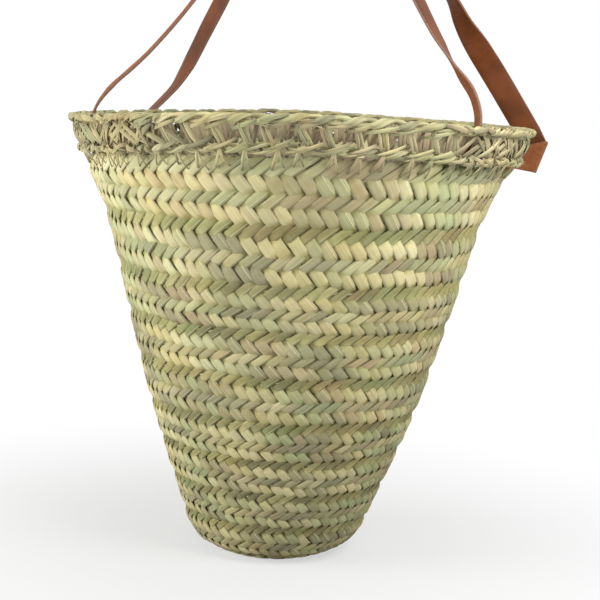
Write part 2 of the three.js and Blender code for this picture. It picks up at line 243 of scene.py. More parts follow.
waxed = {
    "rough": 0.7, "specular": 0.2, "bump": 0.5, "bumpDepth": 0.0003,
    "lays": 24.0, "slant": 3.0, "tones": ((150, 134, 98), (206, 192, 152)),
}


def threadMaterial(name):
    mat, shader, wire = newMaterial(name, waxed["rough"], waxed["specular"])
    along, across = stripWires(wire)
    # painted shade in the grooves between the thread's twisted plies, with a matching bump
    lay = (along * waxed["lays"] + across * waxed["slant"]) * math.tau
    ply = lay.work("SINE", lay)
    color = (ply * 0.5 + 0.5).mix(*colorPair(waxed["tones"]))
    wearOf(shader, wire, color, waxed["rough"] + ply * 0.05, ply, waxed["bump"], waxed["bumpDepth"])
    return mat


thread = threadMaterial("waxedThread")
print("materials made")

# outer wall line in millimetres, radius and height, from the flat base up to the plait's top edge
heelKnots = [Vector((50, 0)), Vector((72, 2)), Vector((81.5, 33))]
sideKnots = [Vector((81.5, 33)), Vector((118.5, 140)), Vector((155, 272)), Vector((180, 339))]
lineSteps = 40
riseSpan = 3  # to either side of a point, for the slope of the wall there
millimetre = 0.001
weldGap = 0.000004


def bent(a, b, c, part):
    return a.lerp(b, part).lerp(b.lerp(c, part), part)


def drawn(a, b, pullA, pullB, part):  # cubic from a to b that leaves and arrives along the pulls
    square, cube = part * part, part ** 3
    return a * (1 - 3 * square + 2 * cube) + b * (3 * square - 2 * cube) \
        + pullA * (part - 2 * square + cube) + pullB * (cube - square)


wallLine = [bent(*heelKnots, k / lineSteps) for k in range(lineSteps)]
for leg in range(3):
    a, b = sideKnots[leg], sideKnots[leg + 1]
    before, after = sideKnots[max(leg - 1, 0)], sideKnots[min(leg + 2, 3)]
    for k in range(lineSteps):
        wallLine.append(drawn(a, b, (b - before) / 2, (after - a) / 2, k / lineSteps))
wallLine.append(sideKnots[-1])
wallReach = [0.0]
for a, b in zip(wallLine, wallLine[1:]):
    wallReach.append(wallReach[-1] + (b - a).length)
wallEnd = wallReach[-1]


def lineSpot(reach):
    if reach <= 0:
        return heelKnots[0] + Vector((reach, 0))
    if reach >= wallEnd:
        return wallLine[-1] + (wallLine[-1] - wallLine[-4]).normalized() * (reach - wallEnd)
    k = bisect.bisect(wallReach, reach) - 1
    return wallLine[k].lerp(wallLine[k + 1], (reach - wallReach[k]) / (wallReach[k + 1] - wallReach[k]))


def wallRise(reach):  # direction up the wall
    return (lineSpot(reach + riseSpan) - lineSpot(reach - riseSpan)).normalized()


def wallSpot(reach, lift):  # lift is out of the wall, along its normal
    rise = wallRise(reach)
    return lineSpot(reach) + Vector((rise.y, -rise.x)) * lift


def bounded(value):
    return min(1.0, max(0.0, value))


def ramp(value, low, high):  # 0 below low, 1 above high
    part = bounded((value - low) / (high - low))
    return part * part * (3 - 2 * part)


def either(spread):  # a draw to either side
    return dice.uniform(-spread, spread)


# how the soft basket leaves its round form, in millimetres, with the heights between which each one sets in
slack = {
    "frontRise": 5.5, "leftSag": 9, "rim": (285, 345),
    "backRise": 11, "backAngle": 170, "backTop": 371, "backFade": 20,
    "leftPinch": 7, "pinch": (318, 348),
    "rightBulge": 2.5, "bulge": (20, 120), "bulgeEnd": (230, 300),
    "heelLift": 5, "heelTop": 40, "heelRadius": 72,
}


def turned(spot, turn):  # radius and height in millimetres to a point in metres
    # the soft rim stands higher in front, sags and draws in at the left, and the plait is higher at the back
    sight = turn - math.radians(shot["turn"])
    front, left, right = max(0.0, math.cos(sight)), max(0.0, -math.sin(sight)), max(0.0, math.sin(sight))
    back = max(0.0, math.cos(sight - math.radians(slack["backAngle"])))
    rim = ramp(spot.y, *slack["rim"])
    raised = spot.y + (slack["frontRise"] * front ** 2 - slack["leftSag"] * left) * rim
    raised += slack["backRise"] * back ** 3 * rim * bounded((slack["backTop"] - spot.y) / slack["backFade"])
    lifted = bounded(1 - spot.y / slack["heelTop"]) ** 2 * (spot.x / slack["heelRadius"]) ** 2
    raised += slack["heelLift"] * right * lifted
    bulge = slack["rightBulge"] * right * ramp(spot.y, *slack["bulge"])
    bulge *= 1 - ramp(spot.y, *slack["bulgeEnd"])
    radius = spot.x + bulge - slack["leftPinch"] * left * ramp(spot.y, *slack["pinch"])
    return Vector((radius * math.cos(turn), radius * math.sin(turn), raised)) * millimetre


def degreesApart(angle, other):
    return (angle - other + 180) % 360 - 180


def sightAngle(turn):  # degrees from the side that faces the camera, rightwards positive
    return degreesApart(math.degrees(turn), shot["turn"])


def newBuild():
    bm = bmesh.new()
    bm.loops.layers.uv.new("UVMap")
    return bm, bm.verts.layers.float_color.new("leaf"), bm.verts.layers.float.new("seed")


def sheet(bm, steps, cross):  # grid whose x runs along a strand and y across it
    return bmesh.ops.create_grid(bm, x_segments=steps, y_segments=cross, size=0.5, calc_uvs=True)["verts"]


def finishPiece(bm, name, material, body, nodes, closed=True):
    if closed:
        bmesh.ops.remove_doubles(bm, verts=bm.verts, dist=weldGap)
        bmesh.ops.holes_fill(bm, edges=[edge for edge in bm.edges if edge.is_boundary], sides=0)
        bmesh.ops.recalc_face_normals(bm, faces=bm.faces)
    for face in bm.faces:
        face.smooth = True
    mesh = bpy.data.meshes.new(name)
    bm.to_mesh(mesh)
    bm.free()
    mesh.materials.append(material)
    piece = bpy.data.objects.new(name, mesh)
    scene.collection.objects.link(piece)
    if body:
        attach(piece, body)
    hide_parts(*nodes)
    return piece


# dried leaf: each tone's noise scale and shift, then its middle, drift, spread and share
straw = tint(206, 196, 142)
leafTones = {
    "pale": {"tone": tint(224, 215, 168), "scale": 1.3, "shift": (0, 7, 0),
             "mix": (0.35, 1.5), "spread": (-0.2, 0.2), "share": 1},
    "green": {"tone": tint(172, 180, 134), "scale": 1, "shift": (0, 0, 0),
              "mix": (0.25, 1.7), "spread": (-0.15, 0.15), "share": 0.85},
    "grey": {"tone": tint(150, 143, 114), "scale": 1.6, "shift": (9, 0, 0),
             "mix": (0.12, 1.9), "spread": (-0.2, 0.2), "share": 0.8},
    "tan": {"tone": tint(188, 166, 128), "scale": 0.9, "shift": (0, 0, 13),
            "mix": (0, 0.9), "spread": (-0.5, 0.25), "share": 1},
}
leafPatch = {
    "round": 2.3, "climb": 0.85, "lean": 3.1,  # how fast the patches change round the basket and up it
    "bright": (0.865, 1.015), "base": 0.66, "climbShade": 0.047, "palest": 1.05,  # the lower courses are darker
    "ropeLevel": 10, "laceLevel": 12,  # as if they were courses above the wall
}


def leafTone(turn, level, lean):  # strands of one leaf lie together, so the tones come in patches
    here = Vector((math.cos(turn), math.sin(turn), 0)) * leafPatch["round"]
    here.z = level * leafPatch["climb"] + lean * leafPatch["lean"]
    tone = straw
    for leaf in leafTones.values():
        middle, drift = leaf["mix"]
        part = middle + drift * noise.noise(here * leaf["scale"] + Vector(leaf["shift"]))
        tone = tone.lerp(leaf["tone"], bounded(part + dice.uniform(*leaf["spread"])) * leaf["share"])
    # painted shade: the lower the course, the darker its tone, up to a cap
    climbShade = min(leafPatch["palest"], leafPatch["base"] + leafPatch["climbShade"] * max(level, 0))
    return tone * dice.uniform(*leafPatch["bright"]) * climbShade


# herringbone plait: lengths out of the wall in millimetres, along it in strand spacings
plait = {
    "steps": 27, "foldSteps": 7, "cross": 4, "rows": 4, "thick": 0.8, "skew": 0.2,
    "weave": 0.95, "snap": 3.0, "mid": -1.9, "arch": 0.5, "half": 0.25, "fill": 1.03, "under": 0.08,
    "seam": 1.7, "seamRun": 0.5, "tuckAt": 3.5, "sway": 1.9, "swayRound": 3, "swayClimb": 0.02,
    "foldAt": 3, "foldRun": 1.3, "foldBand": 0.5, "foldDrop": 2.2, "insideAt": 3.5, "insideLift": 0.6,
    "shift": 0.11, "slide": 0.1, "cock": 0.24, "size": (0.94, 1.03), "puff": (-0.15, 0.2),
    # painted shade on the strands: base, over and under, lower and upper seam, folded loops, and how much
    # warmer the blue makes it
    "shade": 0.83, "waveShade": 0.17, "lowShade": 0.28, "highShade": 0.16, "foldShade": 1.04, "shadeWarmth": 1.7,
}
# strands of the two leans, 1 to the right and -1 to the left; bright is painted light and shade, the
# right-leaning rows shaded and the left-leaning rows lit
strandKinds = {
    1: {"start": -0.72, "end": 3.72, "size": 1.01, "puff": -0.05, "bright": 0.92},
    -1: {"start": -0.15, "end": 4.15, "size": 1.07, "puff": 0.25, "bright": 1.07},
}


def floatWave(part):  # +1 where the strand lies on top, -1 where it goes under
    return math.tanh(plait["snap"] * math.cos(math.pi * part)) / math.tanh(plait["snap"])


def seamNotch(up):
    return math.exp(-(up / plait["seamRun"]) ** 2)


def addStrand(bm, layers, course, lean, index):
    low, pitch, count = course["low"], course["pitch"], course["count"]
    turn = math.tau * index / count
    top = course.get("top")
    folded = top and lean > 0  # it folds over the top edge and down the inside
    kind = strandKinds[lean]
    start, end = kind["start"], top + plait["foldRun"] if folded else kind["end"]
    shift = either(plait["shift"])
    slide = either(plait["slide"])
    fill = plait["fill"] * dice.uniform(*plait["size"]) * kind["size"]
    puff = dice.uniform(*plait["puff"]) + kind["puff"]
    cock = either(plait["cock"])
    seed = dice.random()
    # painted light and shade by lean, on top of the leaf tone
    tone = leafTone(turn, course["level"], lean) * kind["bright"]
    for v in sheet(bm, plait["steps"] + (plait["foldSteps"] if folded else 0), plait["cross"]):
        part = start + (v.co.x + 0.5) * (end - start)
        across = 2 * v.co.y
        wave = floatWave(part) * lean
        if lean > 0 and part > plait["tuckAt"] and not top:  # the end is tucked under the next course
            wave = -1.0
        side = plait["half"] * fill * across * (1 + plait["under"] - plait["under"] * wave)
        up = part + lean * side + slide
        along = index + shift + lean * part - side + plait["skew"] * up
        lift = plait["mid"] + plait["weave"] * wave + puff + cock * across - plait["arch"] * across * across
        lowSeam, highSeam = seamNotch(up), 0 if top else seamNotch(up - plait["rows"])
        lift -= plait["seam"] * (lowSeam + highSeam)
        # painted shade: darker where the strand goes under the other lean and in the seam grooves
        shade = plait["shade"] + plait["waveShade"] * wave
        shade -= plait["lowShade"] * lowSeam + plait["highShade"] * highSeam
        if folded and part > plait["foldAt"]:
            over = up - top
            if over > -plait["foldBand"] / 2:
                drop = plait["weave"] * (1 + wave) + plait["foldDrop"]
                lift -= drop * bounded(0.5 + over / plait["foldBand"])
            elif part > plait["insideAt"]:
                lift += plait["weave"] * (1 - wave) * plait["insideLift"]
            up = top - abs(over)
            # the folded top loops lose the painted shade and are painted a little lighter
            shade = max(shade, plait["foldShade"])
        here = math.tau * along / count
        place = Vector((math.cos(here), math.sin(here), 0)) * plait["swayRound"]
        place.z = (low + up * pitch) * plait["swayClimb"]
        sway = plait["sway"] * noise.noise(place)
        v.co = turned(wallSpot(low + up * pitch + sway, lift), here)
        # painted shade: darker where the strand dips under and along the seams; its blue falls faster, so the
        # painted shade is warmer
        v[layers[0]] = (tone.x * shade, tone.y * shade, tone.z * shade ** plait["shadeWarmth"], 1)
        v[layers[1]] = seed


# turns of the band: where each starts up the wall, its strands' spacing and their number
courses = [
    {"low": 12, "pitch": 9.0, "count": 49},
    {"low": 48, "pitch": 8.0, "count": 57},
    {"low": 80, "pitch": 8.5, "count": 63},
    {"low": 114, "pitch": 8.5, "count": 68},
    {"low": 148, "pitch": 10.25, "count": 70},
    {"low": 189, "pitch": 9.75, "count": 73},
    {"low": 228, "pitch": 9.75, "count": 77},
    {"low": 267, "pitch": 12.25, "count": 82},
    {"low": 316, "pitch": 12.2, "count": 84, "top": 4.75},
]


def plaitCourse(bm, layers, course, level):
    course["level"] = level
    for lean in (1, -1):
        for index in range(course["count"]):
            addStrand(bm, layers, course, lean, index)


def thicken(piece):
    shell = piece.modifiers.new("thickness", "SOLIDIFY")
    shell.thickness = plait["thick"] * millimetre
    shell.offset = -1
    piece.data.materials.append(palmUndersideShaded)
    shell.material_offset = 1


for level, course in enumerate(courses):
    bm, *layers = newBuild()
    plaitCourse(bm, layers, course, level)
    name = "wall_course_%d" % (level + 1)
    thicken(finishPiece(bm, "plait_" + name, palmLeaf, "basket", [name], closed=False))
print("wall plaited")

# base coil, two turns of plait round a small knot
baseCoil = [{"low": -17, "pitch": 7.25, "count": 28}, {"low": -43, "pitch": 6.5, "count": 15}]
baseKnot = {"round": 14, "rings": 8, "radius": 0.011, "flat": 0.2, "height": 0.003, "shade": 0.6}
bm, *layers = newBuild()
for level, ring in enumerate(baseCoil):
    plaitCourse(bm, layers, ring, -1 - level)
knot = bmesh.ops.create_uvsphere(bm, u_segments=baseKnot["round"], v_segments=baseKnot["rings"],
                                 radius=baseKnot["radius"], calc_uvs=True)
for v in knot["verts"]:
    v.co = Vector((v.co.x, v.co.y, v.co.z * baseKnot["flat"] + baseKnot["height"]))
    v[layers[0]] = asColor(straw * baseKnot["shade"])
thicken(finishPiece(bm, "plait_base", palmLeaf, "basket", ["base_disc"], closed=False))
print("base plaited")

# twisted plies: how unevenly they wind, swell and darken, their section and the strands that show on them
ply = {
    "pace": 3, "apart": 5.0, "wind": 0.5, "swell": 0.16, "thin": 0.86, "wide": 1.16,
    "strands": 5, "strandTurn": 2, "shade": 0.92, "drift": 0.25, "waistShade": 0.3,
}


def twistRing(bm, layers, ring):  # plies that wind round each other along a ring
    for strand in range(ring["plies"]):
        seed = dice.random()
        tones = [leafTone(math.pi * k / ring["twists"], leafPatch["ropeLevel"] + strand, 1)
                 for k in range(2 * ring["twists"])]
        for v in sheet(bm, ring["steps"], ring["sides"]):
            turn = math.tau * (v.co.x + 0.5)
            around = math.tau * (v.co.y + 0.5)
            beat = Vector((ply["pace"] * math.cos(turn), ply["pace"] * math.sin(turn), strand * ply["apart"]))
            wind = ring["twists"] * turn + math.tau * strand / ring["plies"]
            wind += ply["wind"] * noise.noise(beat * 1.5)
            wander = Vector((noise.noise(beat), noise.noise(beat + Vector((0, 0, 40))))) * ring["wander"]
            waist = ring["waist"] * math.sin(wind) ** 2
            swell = 1 + ply["swell"] * noise.noise(beat * 4) - waist
            out = Vector((math.cos(wind), math.sin(wind)))
            flat = Vector((-out.y, out.x))
            groove = 1 + ring["groove"] * math.cos(ply["strands"] * around + ply["strandTurn"] * wind)
            section = out * ply["thin"] * math.cos(around) + flat * ply["wide"] * math.sin(around)
            spot = Vector((ring["radius"], ring["height"])) + wander + out * ring["coil"]
            spot += section * ring["ply"] * swell * groove
            # random tone along the ply, then painted shade where it narrows at the top and bottom of each
            # turn, standing for the crease between the plies
            shade = ply["shade"] + ply["drift"] * noise.noise(beat * 2 + Vector((0, 0, 9)))
            shade -= ply["waistShade"] * waist
            v.co = turned(spot, turn)
            v[layers[0]] = asColor(tones[math.floor(wind / math.pi + 0.5) % len(tones)] * shade)
            v[layers[1]] = seed


ropes = {
    "border_rope_upper": {"radius": 193, "height": 370.7, "coil": 2.3, "ply": 2.75, "twists": 29,
                          "wander": 1.5, "waist": 0.3},
    "border_rope_lower": {"radius": 184.5, "height": 348.5, "coil": 2.8, "ply": 2.05, "twists": 25,
                          "wander": 1.4, "waist": 0.36},
}
ropeMake = {"plies": 2, "steps": 580, "sides": 18, "groove": 0.09}
for name, ring in ropes.items():
    bm, *layers = newBuild()
    twistRing(bm, layers, ring | ropeMake)
    finishPiece(bm, "twisted_" + name, palmRope, "basket", [name])

# sewing cord in the inner groove of every seam
cordMake = {"plies": 2, "sides": 5, "groove": 0.0, "coil": 0.75, "ply": 0.95, "wander": 0.1, "waist": 0.0}
cordLay = {"depth": 4.5, "twists": 0.5, "steps": 8}  # twists per millimetre of radius, and steps per twist
for level, course in enumerate(courses):
    spot = wallSpot(course["low"], -cordLay["depth"])
    twists = int(spot.x * cordLay["twists"])
    cord = {"radius": spot.x, "height": spot.y, "twists": twists, "steps": twists * cordLay["steps"]}
    bm, *layers = newBuild()
    twistRing(bm, layers, cord | cordMake)
    name = "seam_cord_%d" % (level + 1)
    finishPiece(bm, "sewn_" + name, palmCord, "basket", [name])
print("ropes and cords wound")

# lacing of short leaf strips between the ropes: angles round the rim in radians, lengths in millimetres;
# a strip's top, foot, start and end are a distance and an angle round a rope
lowRope, highRope = (Vector((ropes[name]["radius"], ropes[name]["height"]))
                     for name in ("border_rope_lower", "border_rope_upper"))
borderRise = (highRope - lowRope).normalized()
borderOut = Vector((borderRise.y, -borderRise.x))
lace = {
    "pitches": 57, "steps": 8, "sides": 6, "ahead": 0.02, "thick": 1.0, "jitter": 0.2, "sway": 0.008,
    "slim": 0.62, "belly": 0.38, "endShade": 0.6, "bellyShade": 0.46,
    "dullTone": tint(158, 138, 114), "dulling": (0.5, 1.0),
    "open": (-35, 40), "far": 114, "tangle": (-147, -134),  # stretches of the rim, in degrees from the camera
}
outerStrips = {
    "openCount": (2, 2, 3), "count": 6, "slant": (0.034, 0.062), "leans": (1, 2.2, 3.6, -1.4, -3.2),
    "gap": (0.011, 0.017), "spread": 1.7, "slip": (-0.008, 0.012), "top": (2.6, -0.5), "foot": (1.8, 0.7),
    "openBelly": (1.5, 5.0), "belly": (1.5, 7.0), "openWide": (2.2, 3.4), "wide": (3.2, 5.4), "dull": 0.35,
}
# the inside strips are dulled nearly to the brownish dull tone: a duller colour and painted shade
innerStrips = {
    "openCount": (1, 1, 2), "count": 5, "farCount": 7, "gap": 0.022, "farGap": 0.016, "jitter": 0.012,
    "slant": (0.02, 0.06), "top": (2.6, math.pi + 0.4), "foot": (1.8, math.pi - 0.6),
    "belly": (0.5, 3.5), "wide": (3.2, 5.6), "dull": 0.95,
    "farFoot": (3, 7), "farDepth": 4.8, "farBelly": (5, 8), "farWide": (5, 8),
}
strayPlies = {
    "from": ((lowRope, 9.5), (highRope, -8.5)), "jitter": 0.03, "run": (0.1, 0.17), "start": (3.4, 0.0),
    "bellyOut": 5.5, "bellyClimb": 0.4, "tipOut": 0.5, "wide": (2.6, 4.0), "dull": 0.25,
}
ropeTurns = {
    "openCount": (0, 1), "count": 4, "jitter": 0.055, "run": (0.04, 0.16), "ways": (1, 1, -1),
    "start": (3.2, -1.0), "size": (11.5, 13.5), "over": 0.5, "end": (2.8, 2.0),
    "wide": (2.8, 4.8), "dull": 0.3,
}
ropeKnots = {
    "count": 5, "jitter": 0.055, "run": 0.12, "start": (3.0, 1.5), "size": (10.0, 13.5), "over": (-0.3, 0.5),
    "end": (3.0, -1.5), "wide": (2.6, 4.4), "dull": 0.4,
}
frayedEnds = {
    "count": 90, "run": (0.03, 0.1), "angle": (-1.1, 0.4), "root": 3.6, "middle": 5.6, "reach": (5.5, 8.5),
    "wide": (1.2, 2.8), "taper": 0.85, "dull": 0.2,
    "straps": (-25.5, 30.3, 149.7, 205.5), "clear": 17,  # where the straps are, and how far to keep off them
}
edgeStitches = {
    "offset": 0.55, "jitter": 0.22, "splay": (0.016, 0.036), "wide": {-1: (2.6, 3.6), 1: (1.6, 2.4)},
    "tangleWide": 1.9, "tangleTaper": 0.8, "size": 3.6, "angle": 1.1, "bellyAngle": 0.35,
    "openBelly": 7.6, "belly": 5.6, "pin": (3, 8), "pinDepth": 0.6, "dull": 0.3,
    "innerBelly": 7.0, "innerPin": (4, 8), "innerDepth": 4.4, "insideDullShade": 0.7,
}


def within(angle, stretch):
    return stretch[0] < angle < stretch[1]


def roundRope(centre, size, angle):  # 0 is outside, 90 degrees on top
    return centre + (borderOut * math.cos(angle) + borderRise * math.sin(angle)) * size


def layBand(bm, layers, spots, turns, wide, tone, taper=0.0):  # flat strip bent over three points
    seed = dice.random()
    knots = [Vector((spot.x, spot.y, turn)) for spot, turn in zip(spots, turns)]
    for v in sheet(bm, lace["steps"], lace["sides"]):
        part = v.co.x + 0.5
        around = math.tau * (v.co.y + 0.5)
        here, near = bent(*knots, part), bent(*knots, part + lace["ahead"])
        centre = turned(here, here.z)
        ahead = (turned(near, near.z) - centre).normalized()
        side = ahead.cross(Vector((math.cos(here.z), math.sin(here.z), 0))).normalized()
        bow = math.sin(math.pi * part)
        slim = (lace["slim"] + lace["belly"] * bow) * (1 - taper * part)
        offset = side * (math.sin(around) * wide * slim)
        offset += side.cross(ahead) * (math.cos(around) * lace["thick"])
        v.co = centre + offset * millimetre / 2
        # painted shade: the strip is darker towards both ends, where it goes under its neighbours
        v[layers[0]] = asColor(tone * (lace["endShade"] + lace["bellyShade"] * bow))
        v[layers[1]] = seed


def laceTone(turn, dull):
    tone = leafTone(turn, leafPatch["laceLevel"], dice.choice((1, -1)))
    return tone.lerp(lace["dullTone"], dull * dice.uniform(*lace["dulling"]))


def evenTurns(begin, end, sway=0.0):
    return begin, (begin + end) / 2 + sway, end


bm, *layers = newBuild()
for pitch in range(lace["pitches"]):
    start = math.tau * (pitch + either(lace["jitter"])) / lace["pitches"]
    sight = sightAngle(start)
    loose = within(sight, lace["open"])  # the open front, with a tangle at its two ends
    far = abs(sight) > lace["far"] and not within(sight, lace["tangle"])
    strips = outerStrips  # most lean one way
    slant = dice.uniform(*strips["slant"])
    for strand in range(dice.choice(strips["openCount"]) if loose else strips["count"]):
        begin = start + strand * dice.uniform(*strips["gap"]) * (1 if loose else strips["spread"])
        lean = slant if loose else slant * dice.choice(strips["leans"])
        end = begin + lean + dice.uniform(*strips["slip"])
        top, foot = roundRope(highRope, *strips["top"]), roundRope(lowRope, *strips["foot"])
        belly = (top + foot) / 2 + borderOut * dice.uniform(*strips["openBelly" if loose else "belly"])
        turns = evenTurns(begin, end, either(lace["sway"]))
        wide = dice.uniform(*strips["openWide" if loose else "wide"])
        layBand(bm, layers, (top, belly, foot), turns, wide, laceTone(begin, strips["dull"]))
    strips = innerStrips  # these lean the other way
    count = dice.choice(strips["openCount"]) if loose else strips["farCount" if far else "count"]
    for strand in range(count):
        begin = start + strand * strips["farGap" if far else "gap"] + either(strips["jitter"])
        end = begin - dice.uniform(*strips["slant"])
        top, foot = roundRope(highRope, *strips["top"]), roundRope(lowRope, *strips["foot"])
        belly = (top + foot) / 2 - borderOut * dice.uniform(*strips["belly"])
        wide = dice.uniform(*strips["wide"])
        if far:  # wide ones reach down over the lower rope
            foot = wallSpot(wallEnd - dice.uniform(*strips["farFoot"]), -strips["farDepth"])
            wide = dice.uniform(*strips["farWide"])
            belly = (top + foot) / 2 - borderOut * dice.uniform(*strips["farBelly"])
        turns = evenTurns(begin, end, either(lace["sway"]))
        layBand(bm, layers, (top, belly, foot), turns, wide, laceTone(begin, strips["dull"]))
    strips = strayPlies  # long plies that stray off the ropes
    for rope, climb in strips["from"] if loose else ():
        begin = start + either(strips["jitter"])
        end = begin + math.copysign(dice.uniform(*strips["run"]), climb)
        belly = rope + borderOut * strips["bellyOut"] + borderRise * climb * strips["bellyClimb"]
        tip = rope + borderOut * strips["tipOut"] + borderRise * climb
        spots = roundRope(rope, *strips["start"]), belly, tip
        wide = dice.uniform(*strips["wide"])
        layBand(bm, layers, spots, evenTurns(begin, end), wide, laceTone(begin, strips["dull"]))
    strips = ropeTurns  # short turns over the upper rope
    for strand in range(dice.choice(strips["openCount"]) if loose else 0 if far else strips["count"]):
        begin = start + either(strips["jitter"])
        end = begin + dice.uniform(*strips["run"]) * (1 if loose else dice.choice(strips["ways"]))
        belly = roundRope(highRope, dice.uniform(*strips["size"]), strips["over"])
        spots = roundRope(highRope, *strips["start"]), belly, roundRope(highRope, *strips["end"])
        wide = dice.uniform(*strips["wide"])
        layBand(bm, layers, spots, evenTurns(begin, end), wide, laceTone(begin, strips["dull"]))
    strips = ropeKnots  # and knots on the lower one
    for strand in range(0 if loose or far else strips["count"]):
        begin = start + either(strips["jitter"])
        end = begin + either(strips["run"])
        belly = roundRope(lowRope, dice.uniform(*strips["size"]), dice.uniform(*strips["over"]))
        spots = roundRope(lowRope, *strips["start"]), belly, roundRope(lowRope, *strips["end"])
        wide = dice.uniform(*strips["wide"])
        layBand(bm, layers, spots, evenTurns(begin, end), wide, laceTone(begin, strips["dull"]))
strips = frayedEnds  # they spring off the ropes, clear of the straps
for hair in range(strips["count"]):
    begin = dice.uniform(0, math.tau)
    end = begin + dice.choice((-1, 1)) * dice.uniform(*strips["run"])
    rope, angle = dice.choice((highRope, lowRope)), dice.uniform(*strips["angle"])
    tip = roundRope(rope, dice.uniform(*strips["reach"]), angle)
    spots = roundRope(rope, strips["root"], angle), roundRope(rope, strips["middle"], angle), tip
    wide, tone = dice.uniform(*strips["wide"]), laceTone(begin, strips["dull"])
    if min(abs(degreesApart(math.degrees(begin), azimuth)) for azimuth in strips["straps"]) > strips["clear"]:
        layBand(bm, layers, spots, evenTurns(begin, end), wide, tone, strips["taper"])
finishPiece(bm, "laced_border", palmLace, "basket",
            ["border_lattice_outer", "border_lattice_inner"])

# splayed stitches that hang the lower rope on the plait, outside and inside
bm, *layers = newBuild()
strips = edgeStitches
for pitch in range(lace["pitches"]):
    start = math.tau * (pitch + strips["offset"] + either(strips["jitter"])) / lace["pitches"]
    loose = within(sightAngle(start), lace["open"])
    for lean in (-1, 1):
        turns = start, start, start + lean * dice.uniform(*strips["splay"])
        top = roundRope(lowRope, strips["size"], strips["angle"])
        belly = roundRope(lowRope, strips["openBelly" if loose else "belly"], -strips["bellyAngle"])
        pin = wallSpot(wallEnd - dice.uniform(*strips["pin"]), -strips["pinDepth"])
        wide = dice.uniform(*strips["wide"][lean])
        wide, taper = (wide, 0.0) if loose else (wide * strips["tangleWide"], strips["tangleTaper"])
        layBand(bm, layers, (top, belly, pin), turns, wide, laceTone(start, strips["dull"]), taper)
        top = roundRope(lowRope, strips["size"], math.pi - strips["angle"])
        belly = roundRope(lowRope, strips["innerBelly"], math.pi + strips["bellyAngle"])
        pin = wallSpot(wallEnd - dice.uniform(*strips["innerPin"]), -strips["innerDepth"])
        # dulled inside the rim: a duller colour and painted shade
        layBand(bm, layers, (top, belly, pin), turns, wide, laceTone(start, strips["insideDullShade"]))
finishPiece(bm, "edge_stitching", palmLace, "basket",
            ["edge_binding_outer", "edge_binding_inner"])
print("border laced")

# leather straps: sizes and the points of the +X handle in millimetres, angles in degrees
strap = {
    "width": 22, "thick": 2.2, "layer": 1.35, "legSteps": 190, "tabSteps": 40, "creaseSteps": 8,
    "leanAngle": 121, "tabAngle": 25, "flatAngle": 9, "flatRun": 30, "tabRun": 49,
    "passRun": 35, "passDrop": 15, "tabAzimuths": (51, 57.5, 64), "tabBack": 38,
    "footAzimuth": -25.5, "footDepth": 7.7, "footSpots": (34, 24, 15), "footBend": (8, 11.2), "ropeGap": 8.1,
}
foldPoint, flexPoint = Vector((192, 112, 349)), Vector((166.54, -79.44, 379))
swingAxis = (foldPoint - flexPoint).normalized()
foldOut = (Vector((1, 0, 0)) - swingAxis * swingAxis.x).normalized()
foldUp = foldOut.cross(swingAxis)
foldMiddle = (strap["tabAngle"] + strap["leanAngle"]) / 2


def inFold(angle):
    return foldOut * math.cos(math.radians(angle)) + foldUp * math.sin(math.radians(angle))


def radial(azimuth):
    return Vector((math.cos(math.radians(azimuth)), math.sin(math.radians(azimuth)), 0))


def inRadial(spot, arm):  # radius and height to a point
    return arm * spot.x + Vector((0, 0, spot.y))


def onWall(reach, depth, azimuth):  # point, up the wall, out of the wall
    rise, arm = wallRise(reach), radial(azimuth)
    return inRadial(wallSpot(reach, -depth), arm), inRadial(rise, arm), arm * rise.y - Vector((0, 0, rise.x))


def curved(before, a, b, after, part, spans):  # from a to b, on a smooth line through all four
    first, mid, last = spans
    pullA = ((a - before) / first - (b - before) / (first + mid) + (b - a) / mid) * mid
    pullB = ((b - a) / mid - (after - a) / (mid + last) + (after - b) / last) * mid
    return drawn(a, b, pullA, pullB, part)


def smoothRoute(knots, count):  # centripetal line through the knots, with the width direction turning along
    spots = [knot[0] for knot in knots]
    line = [spots[0] * 2 - spots[1]] + spots + [spots[-1] * 2 - spots[-2]]
    made = []
    for k in range(count + 1):
        run = k / count * (len(spots) - 1)
        leg = min(int(run), len(spots) - 2)
        four = line[leg:leg + 4]
        spans = [max((b - a).length ** 0.5, 1e-3) for a, b in zip(four, four[1:])]
        made.append((curved(*four, run - leg, spans), knots[leg][1].lerp(knots[leg + 1][1], run - leg)))
    return made


def stations(route):  # centre, half width and face of every cross-section
    made = []
    for k, (centre, across) in enumerate(route):
        ahead = route[min(k + 1, len(route) - 1)][0] - route[max(k - 1, 0)][0]
        ahead.normalize()
        across = (across - ahead * across.dot(ahead)).normalized()
        made.append((centre, across * strap["width"] / 2, ahead.cross(across)))
    return made


crown = Vector((13, 46, 616))
crownSpots = [crown + Vector((4, -17, -7)), crown, crown + Vector((4, 17, -7))]
footOut, footSide = radial(strap["footAzimuth"]), radial(strap["footAzimuth"] + 90)
footKnots = []
for back, depth in [(back, strap["footDepth"]) for back in strap["footSpots"]] + [strap["footBend"]]:
    footKnots.append((onWall(wallEnd - back, depth, strap["footAzimuth"])[0], footSide))
footKnots.append((inRadial(lowRope - borderOut * strap["ropeGap"], footOut), footSide))

